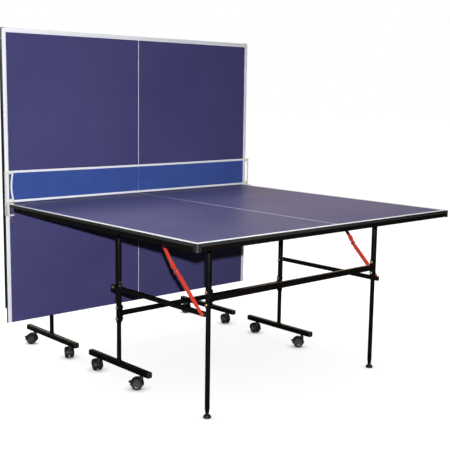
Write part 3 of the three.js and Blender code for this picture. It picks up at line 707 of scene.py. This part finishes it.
links = {
    "upper": (upper_link, upper_x,
              link_outline(upper_link, eye_radius, eye_radius, upper_half_wide, 0.0045, 0.86)),
    "lower": (lower_link, lower_x,
              link_outline(lower_link, lower_eye, eye_radius, lower_half_wide, -0.0030, 0.15)),
}
link_levels = [(0, 0.0007), (0.0005, 0.0001), (link_thick - 0.0005, 0.0001), (link_thick, 0.0007)]
for half, seats in halves.items():
    for side in (-1, 1):
        end = end_name(half, side)
        for part, (long, inner_x, outline) in links.items():
            # The rib is a long low pad on the strip's outside.
            rib = stacked(rounded_rectangle(0.36 * long, 0.0024, 0.0023),
                          [(link_thick - 0.0003, 0), (link_thick + 0.0005, 0.0008)])
            # The outline's axes become Y and Z, and its thickness runs outwards along X.
            placed = [(points[:, [2, 0, 1]] * [side, 1, 1] + [side * inner_x, 0, 0], faces)
                      for points, faces in (stacked(outline, link_levels), moved(rib, long / 2))]
            strap = make_piece(f"{half}_strut_{part}_strap_{end}", placed, seats[f"strut_{part}s"], strut_red,
                               f"{half}_strut_{part}s")
            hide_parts(f"{half}_strut_{part}_{end}")
        outside = upper_x + link_thick
        rivets = on_side(rivet_head(0.0058, 0.0026), side * outside, upper_link, 0, side)
        rivets += on_side(rivet_head(0.0058, 0.0011), side * (lower_x - 0.0001), upper_link, 0, -side)
        rivets += on_side([pin_end(0.004, 0.0046)], side * (outside - sunk), 0, 0, side)
        rivets += on_side(rivet_head(0.0068, 0.0024), side * (outside + 0.0046), 0, 0, side)
        make_piece(f"{half}_strut_pins_{end}", rivets, seats["strut_uppers"], zinc,
                   f"{half}_strut_uppers")


# ---- pivot rails -------------------------------------------------------------------------------
# A pressed steel rail under the board carries each leg's ears. Pan head screws hold it to the
# board, and the leg's pivot pins end in a flat rivet outside and a bolt head inside.
leg_spacing = float(np.linalg.norm(np.subtract(joints["near_outer_leg_swing"]["pos_m"],
                                               joints["near_fold"]["pos_m"])))
rail_low = underside - 0.0033
pan_head = turned([(0, -0.0022), (0.0018, -0.0022), (0.0036, -0.0014), (0.0042, 0.0001), (0, 0.0001)], 20)
flat_rivet = turned([(0, 0), (0.0068, 0), (0.0066, 0.0007), (0, 0.0008)], 24)
for half, seats in halves.items():
    for side in (-1, 1):
        end = end_name(half, side)
        rail = bpy.data.objects[f"{half}_pivot_rail_{end}"]
        rail.data.materials.clear()
        rail.data.materials.append(powder_black)
        screws = [moved(pan_head, side * leg_x + aside, at, rail_low)
                  for at in np.linspace(0.075, leg_spacing - 0.075, 5) for aside in (-0.009, 0.009)]
        for at in (0.0, leg_spacing):
            screws += on_side([flat_rivet], side * (leg_x + sleeve_radius + 0.004), at, 0, side)
            screws += on_side(bolt_head(0.010, 0.0045), side * (leg_x - sleeve_radius - 0.004), at, 0, -side)
        make_piece(f"{half}_rail_screws_{end}", screws, seats["top"], zinc, f"{half}_top")


# ---- casters -----------------------------------------------------------------------------------
# Twin-wheel swivel casters of black nylon stand in the T-feet on steel stems. Wheels have a softer
# tyre and a dished grey hub. The casters on the outer side have a brake tab.
wheel_radius, wheel_wide, wheel_gap, trail = 0.025, 0.016, 0.008, 0.018
hood_in, hood_thick = wheel_radius + 0.0016, 0.0034
tyre_black = finish("tyre_black", (0.010, 0.010, 0.010), (0.02, 0.02, 0.0205), (0.5, 0.7), 0.02, 0.7,
                    0.0005, 0.25, specular=0.35)
hub_grey = finish("hub_grey", (0.040, 0.041, 0.043), (0.065, 0.066, 0.068), (0.3, 0.45), 0.02, 0.6,
                  0.0006, 0.12)


def arch(section, start, stop, steps=26):
    """A closed (across, radius) section carried round the axle from start to stop degrees."""
    turn = np.radians(np.linspace(start, stop, steps))
    across, radius = section.T
    points = np.stack([radius[None] * np.cos(turn)[:, None], np.broadcast_to(across, (steps, len(across))),
                       radius[None] * np.sin(turn)[:, None]], -1).reshape(-1, 3)
    count = len(section)
    ends = [list(range(count)), list(range(len(points) - count, len(points)))[::-1]]
    return points, grid_faces(steps, count, round_columns=True) + ends


span = wheel_wide + wheel_gap / 2
# The hood's outside is crowned: its radius falls off towards the sides as y^4. A thin web joins it to
# the collar round the stem, whose shoulder is a quarter of an ellipse.
y = np.linspace(-span, span, 13)
crown = hood_in + hood_thick - 0.0026 * (y / span) ** 4
section = np.concatenate([np.stack([y, crown], 1), [[span, hood_in + 0.0002], [-span, hood_in + 0.0002]]])
hood = moved(arch(section, -10, 190), trail, 0, wheel_radius)
turn = np.radians(np.linspace(-10, 190, 24))
web_edge = (hood_in + 0.001) * np.stack([np.cos(turn), np.sin(turn)], 1)
web_points, web_faces = stacked(np.concatenate([web_edge, [[0, -0.0085]]]),
                                [(-wheel_gap / 2 + 0.001, 0), (wheel_gap / 2 - 0.001, 0)])
web = (web_points[:, [0, 2, 1]] + [trail, 0, wheel_radius], web_faces)
turn = np.linspace(0, np.pi / 2, 6)
shoulder = np.stack([0.0072 + 0.0022 * (1 - np.sin(turn)), 0.0545 + 0.0045 * np.sin(turn)], 1)
collar_top = foot_low - 0.0006
collar = turned(np.concatenate([[[0, 0.040], [0.0094, 0.040]], shoulder,
                                [[0.0072, collar_top], [0, collar_top]]]), 28)
brake_tab = moved(stacked(rounded_rectangle(0.0062, 0.010, 0.003),
                          [(-0.0025, 0.0006), (-0.0018, 0), (0.0018, 0), (0.0025, 0.0006)]),
                  trail + hood_in + 0.0035, 0, wheel_radius + 0.0095)
stem_pin = moved(turned([(0, -0.002), (0.005, -0.002), (0.005, 0.011), (0.004, 0.012), (0, 0.012)], 20),
                 z=foot_low)

# Tyres have a half-ellipse tread, and each hub is a shallow dish with a ring and a boss in it. The
# profiles are of the wheel at +Y, and its twin is the same profile at -Y.
near_y, far_y = wheel_gap / 2, wheel_gap / 2 + wheel_wide
bead = np.linspace(-np.pi / 2, np.pi / 2, 9)
tread = np.stack([wheel_radius - 0.0045 + 0.0045 * np.cos(bead),
                  (near_y + far_y) / 2 + (wheel_wide / 2) * np.sin(bead)], 1)
dish_y = far_y - 0.0026
tyre_profile = np.concatenate([[[0.0032, near_y + 0.0006]], tread,
                               [[0.0175, far_y - 0.0003], [0.0168, dish_y], [0, dish_y]]])
hub_profile = np.add([(0, -0.0028), (0.0163, -0.0028), (0.0163, -0.0012), (0.0152, -0.0004),
                      (0.0138, -0.0012), (0.009, -0.0019), (0.0058, -0.0016), (0.005, -0.0001),
                      (0, 0.0001)], [0, far_y])
axle_end = near_y + 0.0007
axle_rod = turned([(0, -axle_end), (0.003, -axle_end), (0.003, axle_end), (0, axle_end)], 16)
tyres = [axle_rod] + [turned(tyre_profile * [1, sign], 44) for sign in (-1, 1)]
hubs = [turned(hub_profile * [1, sign], 36) for sign in (-1, 1)]
tyres, hubs = ([moved(along_y(shape), trail, 0, wheel_radius) for shape in shapes]
               for shapes in (tyres, hubs))
for half, seats in halves.items():
    for end in ("left", "right"):
        for place_name in ("inner", "outer"):
            stem = np.array(joints[f"{half}_swivel_{end}_{place_name}"]["pos_m"])
            axle = np.array(joints[f"{half}_wheel_spin_{end}_{place_name}"]["pos_m"])
            point = np.arctan2(axle[1] - stem[1], axle[0] - stem[0])
            seat = np.eye(4)
            seat[:2, :2] = [[np.cos(point), -np.sin(point)], [np.sin(point), np.cos(point)]]
            seat[:2, 3] = stem[:2]
            spot = f"{end}_{place_name}"
            fork = make_piece(f"{half}_caster_hood_{spot}",
                              [hood, web, collar] + ([brake_tab] if place_name == "outer" else []), seat,
                              moulded_black, f"{half}_caster_fork_{spot}")
            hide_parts(f"{half}_caster_fork_{end}_{place_name}")
            make_piece(f"{half}_caster_stem_{spot}", [stem_pin], seat, zinc,
                       f"{half}_caster_fork_{spot}")
            wheels = make_piece(f"{half}_caster_tyres_{spot}", tyres, seat, tyre_black,
                                f"{half}_caster_wheels_{spot}")
            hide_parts(f"{half}_caster_wheels_{end}_{place_name}")
            make_piece(f"{half}_caster_hubs_{spot}", hubs, seat, hub_grey,
                       f"{half}_caster_wheels_{spot}")


# ---- levelling feet ----------------------------------------------------------------------------
# A moulded black foot with a domed base and a hexagon neck turns on a threaded steel stem.
glide_high, neck_top, thread_top = 0.013, 0.0205, 0.050
turn = np.linspace(0, np.pi / 2, 8)
dome = np.stack([0.0085 + 0.0073 * np.cos(turn), 0.0042 + 0.0088 * np.sin(turn)], 1)
base = turned(np.concatenate([[[0, 0], [0.0148, 0], [0.0158, 0.0008]], dome, [[0.0076, glide_high + 0.0004]],
                              [[0.0075, neck_top], [0, neck_top]]]), 44)
neck = stacked(hexagon(0.0138), [(glide_high - 0.001, 0), (0.0198, 0), (0.0206, 0.0008)])
thread = np.stack([0.0047 + 0.0003 * np.cos(np.arange(61) * np.pi), np.linspace(0.0200, thread_top, 61)], 1)
stem = turned(np.concatenate([[[0, 0.0200]], thread, [[0, thread_top]]]), 20)
for half, seats in halves.items():
    for side in (-1, 1):
        end = end_name(half, side)
        foot_shapes, stem_shape = ([moved(shape, side * leg_x, 0, -pivot_high) for shape in shapes]
                                   for shapes in ([base, neck], [stem]))
        glide = make_piece(f"{half}_glide_{end}", foot_shapes, seats["outer_legs"], moulded_black,
                           f"{half}_levelling_foot_{end}")
        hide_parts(f"{half}_levelling_foot_{end}")
        make_piece(f"{half}_glide_stem_{end}", stem_shape, seats["outer_legs"], zinc,
                   f"{half}_levelling_foot_{end}")


# ---- net cloth ---------------------------------------------------------------------------------
# A blue woven net is bound with white tapes. A cord in the top tape stretches it between the posts,
# and its left edge curves between its two corner tabs.
net_low, net_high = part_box("net")
net_y = (net_low.y + net_high.y) / 2
net_bottom, net_top = net_low.z, net_high.z
left_edge, right_edge, left_bow = -0.729, 0.738, 0.012
tape_high, side_tape = 0.0105, 0.008


def cloth_place(u, v):
    """A point of the hanging cloth, u from left to right and v from bottom to top. Its left edge is an arc
    that stands out by left_bow half way up, and the cloth waves by under 2 mm between its bound edges."""
    left = left_edge - left_bow * np.sin(np.pi * v) ** 0.8
    x = left + (right_edge - left) * u
    wave = np.sin(9.2 * u + 0.7) * 0.6 + np.sin(23.0 * u + 2.1) * 0.3 + np.sin(51.0 * u + 4.0) * 0.12
    y = net_y + 0.0016 * wave * np.sin(np.pi * v)
    sag = -0.0022 * np.sin(np.pi * u) * v
    return x, y, net_bottom + (net_top - net_bottom) * v + sag


def fabric(name, thread, gap, colour_dark, colour_light, openness):
    """Woven cloth in its own UV map, counted in metres. Threads run both ways at the given pitch: each is a
    rounded ridge, |sin| of the distance along U or V, and the gaps between them let light through."""
    paint = bpy.data.materials.new(name)
    paint.use_nodes = True
    tree = paint.node_tree
    shader = tree.nodes["Principled BSDF"]
    uv = add_node(tree, "ShaderNodeUVMap", uv_map="cloth").outputs["UV"]
    axes_of = add_node(tree, "ShaderNodeSeparateXYZ", [("Vector", uv)])
    ridges = []
    for axis in ("X", "Y"):
        phase = add_node(tree, "ShaderNodeMath", [(0, axes_of.outputs[axis]), (1, np.pi / thread)],
                         operation="MULTIPLY")
        wave = add_node(tree, "ShaderNodeMath", [(0, phase.outputs[0])], operation="SINE")
        ridge = add_node(tree, "ShaderNodeMath", [(0, wave.outputs[0])], operation="ABSOLUTE")
        ridges.append(ridge.outputs[0])
    weave = add_node(tree, "ShaderNodeMath", [(0, ridges[0]), (1, ridges[1])], operation="MAXIMUM")
    bumped = add_node(tree, "ShaderNodeBump", [("Height", weave.outputs[0]), ("Strength", 0.35),
                                               ("Distance", thread / 2)])
    tree.links.new(bumped.outputs["Normal"], shader.inputs["Normal"])
    worn = add_node(tree, "ShaderNodeGroup", node_tree=film)
    worn.inputs["Size"].default_value, worn.inputs["Amount"].default_value = 0.12, 0.8
    tint = tree.nodes.new("ShaderNodeMix")
    tint.data_type = "RGBA"
    tree.links.new(worn.outputs["Mask"], tint.inputs["Factor"])
    tint.inputs[6].default_value, tint.inputs[7].default_value = (*colour_dark, 1), (*colour_light, 1)
    tree.links.new(tint.outputs[2], shader.inputs["Base Color"])
    shader.inputs["Roughness"].default_value = 0.85
    shader.inputs["Specular IOR Level"].default_value = 0.15
    shader.inputs["Sheen Weight"].default_value = 0.15
    shader.inputs["Sheen Roughness"].default_value = 0.5
    if openness:
        hole = add_node(tree, "ShaderNodeMath", [(0, weave.outputs[0]), (1, gap)], operation="LESS_THAN")
        solid = add_node(tree, "ShaderNodeMapRange", [("Value", hole.outputs[0]), ("To Min", 1.0),
                                                      ("To Max", 1.0 - openness)])
        tree.links.new(solid.outputs["Result"], shader.inputs["Alpha"])
    return paint


net_blue = fabric("net_cloth_blue", 0.0024, 0.80, (0.038, 0.088, 0.36), (0.058, 0.12, 0.44), 0.9)
tape_white = fabric("tape_white", 0.0009, 0.0, (0.80, 0.81, 0.86), (0.9, 0.9, 0.93), 0.0)
tab_cream = fabric("tab_cream", 0.0011, 0.0, (0.74, 0.73, 0.64), (0.84, 0.83, 0.74), 0.0)


def cloth_sheet(name, u, v, thick, paint):
    """A strip of the hanging cloth over a range of u and v, with its UV map in metres. Solidify gives it
    its thickness."""
    points = np.stack(cloth_place(*np.meshgrid(u, v)), -1).reshape(-1, 3)
    mesh = bpy.data.meshes.new(name)
    mesh.from_pydata(points.tolist(), [], grid_faces(len(v), len(u)))
    layer = mesh.uv_layers.new(name="cloth")
    corners = np.empty(len(mesh.loops), np.int32)
    mesh.loops.foreach_get("vertex_index", corners)
    flat = points[corners][:, [0, 2]] - [left_edge, net_bottom]
    layer.data.foreach_set("uv", flat.astype(np.float32).ravel())
    mesh.shade_smooth()
    mesh.materials.append(paint)
    thing = bpy.data.objects.new(name, mesh)
    bpy.context.scene.collection.objects.link(thing)
    wall = thing.modifiers.new("thickness", "SOLIDIFY")
    wall.thickness, wall.offset = thick, 0.0
    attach(thing, "net_set")
    return thing


net = cloth_sheet("net_cloth", np.linspace(0, 1, 181), np.linspace(0.02, 0.98, 15), 0.0004, net_blue)
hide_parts("net")
net_length = right_edge - left_edge
tape_share, side_share = tape_high / (net_top - net_bottom), side_tape / net_length
post_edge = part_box("net_post_left")[1].x
long_way = np.linspace(-0.004, 1.0, 181)
short_way = np.linspace(tape_share * 0.9, 1 - tape_share * 0.9, 21)
tapes = [cloth_sheet(f"net_tape_{title}", u, v, 0.0022, tape_white) for title, u, v in (
    ("top", long_way, np.linspace(1 - tape_share, 1, 4)),
    ("bottom", long_way, np.linspace(0, tape_share, 4)),
    ("left", np.linspace(0, side_share, 4), short_way),
    ("right", np.linspace(1 - side_share, 1, 4), short_way))]
# Folded tabs carry the cords from the tapes' ends to the posts, 0.4 mm short of them.
to_left_post = (left_edge - post_edge - 0.0004) / net_length
to_right_post = (-post_edge - 0.0004 - right_edge) / net_length
for title, low_u, high_u in (("left", -to_left_post, 0.004), ("right", 0.999, 1 + to_right_post)):
    for height, middle in (("top", 1 - tape_share * 0.75), ("bottom", tape_share * 0.8)):
        tab_v = np.linspace(middle - tape_share * 0.72, middle + tape_share * 0.72, 5)
        tapes.append(cloth_sheet(f"net_tab_{title}_{height}", np.linspace(low_u, high_u, 8), tab_v,
                                 0.0032, tab_cream))


# ---- net posts, clamps and screws --------------------------------------------------------------
# Light grey enamelled posts are pegged into clamps of the same grey that grip the board's edge. Each
# clamp tightens with a zinc screw that has a plastic pad and a wire ring to turn it by.
post_enamel = finish("post_enamel", (0.62, 0.64, 0.67), (0.74, 0.76, 0.78), (0.25, 0.38), 0.04, 0.6,
                     0.001, 0.1)
for title in ("left", "right"):
    low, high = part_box(f"net_post_{title}")
    middle_x, middle_y = (low.x + high.x) / 2, (low.y + high.y) / 2
    clamp_low, clamp_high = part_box(f"net_clamp_{title}")
    post_foot = clamp_high.z + 0.0003
    half_x, half_y = (high.x - low.x) / 2, (high.y - low.y) / 2
    column = stacked(rounded_rectangle(half_x, half_y, 0.0022),
                     [(post_foot, 0.0006), (post_foot + 0.0006, 0), (high.z - 0.004, 0),
                      (high.z - 0.0012, 0.0005), (high.z, 0.0018)])
    peg_low, peg_top, peg_radius = low.z + 0.0002, post_foot + 0.001, 0.0025
    peg = turned([(0, peg_low), (0.0019, peg_low), (peg_radius, low.z + 0.001), (peg_radius, peg_top),
                  (0, peg_top)], 20)
    # Small collars on the post hold the cords.
    collar = stacked(rounded_rectangle(half_x + 0.0008, half_y + 0.0008, 0.0028),
                     [(-0.003, 0.0005), (-0.0024, 0), (0.0024, 0), (0.003, 0.0005)])
    shapes = [column, peg, moved(collar, z=net_top - 0.012), moved(collar, z=net_bottom + 0.014)]
    shapes = [moved(shape, middle_x, middle_y) for shape in shapes]
    post = make_piece(f"net_post_bar_{title}", shapes, np.eye(4), post_enamel, "net_set")
    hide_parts(f"net_post_{title}")

    # The clamp is a C in X and Z: jaw over the board, wall at its edge, arm below with the screw in it.
    sign = 1 if title == "right" else -1
    jaw_x = min(abs(clamp_low.x), abs(clamp_high.x))
    wall_x = max(abs(clamp_low.x), abs(clamp_high.x))
    wall_in, jaw_low, arm_top = wall_x - 0.0082, clamp_high.z - 0.0042, clamp_low.z + 0.007
    arm_low, jaw_top, round_off, nick = clamp_low.z, clamp_high.z, 0.003, 0.0009
    outline = np.array([
        (jaw_x, arm_low + 0.001), (jaw_x + 0.001, arm_low), (wall_x - round_off, arm_low),
        (wall_x - nick, arm_low + nick), (wall_x, arm_low + round_off), (wall_x, jaw_top - round_off),
        (wall_x - nick, jaw_top - nick), (wall_x - round_off, jaw_top), (jaw_x + 0.001, jaw_top),
        (jaw_x, jaw_top - 0.001), (jaw_x, jaw_low), (wall_in, jaw_low), (wall_in, arm_top), (jaw_x, arm_top)])
    half_deep, middle_deep = (clamp_high.y - clamp_low.y) / 2, (clamp_low.y + clamp_high.y) / 2
    body_points, body_faces = stacked(outline, eased(-half_deep, half_deep, 0.0007))
    shapes = [(body_points[:, [0, 2, 1]] * [sign, 1, 1] + [0, middle_deep, 0], body_faces)]
    # Two ribs stiffen the outside of the jaw's back.
    rib_points, rib_faces = along_x(stacked(rounded_rectangle(0.0015, 0.026, 0.0014),
                                            [(wall_x - 0.0004, 0), (wall_x + 0.0009, 0.0006)]))
    for aside in (-0.008, 0.008):
        rib_middle = [0, middle_deep + aside, (clamp_low.z + clamp_high.z) / 2]
        shapes.append((rib_points * [sign, 1, 1] + rib_middle, rib_faces))
    clamp = make_piece(f"net_clamp_jaw_{title}", shapes, np.eye(4), post_enamel, "near_top")
    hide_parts(f"net_clamp_{title}")

    screw_low, screw_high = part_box(f"net_clamp_screw_{title}")
    screw_seat = np.eye(4)
    screw_seat[:2, 3] = (screw_low.x + screw_high.x) / 2, (screw_low.y + screw_high.y) / 2
    knob_top, turns = clamp_low.z - 0.014, 44
    heights = np.linspace(knob_top, screw_high.z - 0.004, turns)
    thread = np.stack([0.0036 + 0.00035 * np.cos(np.arange(turns) * np.pi), heights], 1)
    rod = turned(np.concatenate([[[0, knob_top]], thread, [[0, heights[-1]]]]), 24)
    neck = turned(np.add([(0, -0.003), (0.0046, -0.003), (0.0052, -0.0015), (0.0052, 0.001), (0.004, 0.002),
                          (0, 0.002)], [0, knob_top]), 24)
    # The ring is a torus that stands in X and Z.
    round_ring, round_wire = 32, 12
    turn_a, turn_b = np.meshgrid(np.linspace(0, 2 * np.pi, round_ring, endpoint=False),
                                 np.linspace(0, 2 * np.pi, round_wire, endpoint=False), indexing="ij")
    ring_radius, wire = 0.0074, 0.0013
    out = ring_radius + wire * np.cos(turn_b)
    ring_points = np.stack([out * np.cos(turn_a), wire * np.sin(turn_b), out * np.sin(turn_a)], -1)
    ring = (ring_points.reshape(-1, 3), grid_faces(round_ring, round_wire, True, True))
    steel = [rod, neck, moved(ring, z=knob_top - 0.003 - ring_radius)]
    screw = make_piece(f"net_screw_rod_{title}", steel, screw_seat, zinc,
                       f"net_clamp_screw_{title}")
    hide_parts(f"net_clamp_screw_{title}")
    pad = turned(np.add([(0, -0.0042), (0.0062, -0.0042), (0.0078, -0.0028), (0.008, -0.0006), (0.0074, 0),
                         (0, 0)], [0, screw_high.z]), 28)
    make_piece(f"net_screw_pad_{title}", [pad], screw_seat, moulded_black,
               f"net_clamp_screw_{title}")
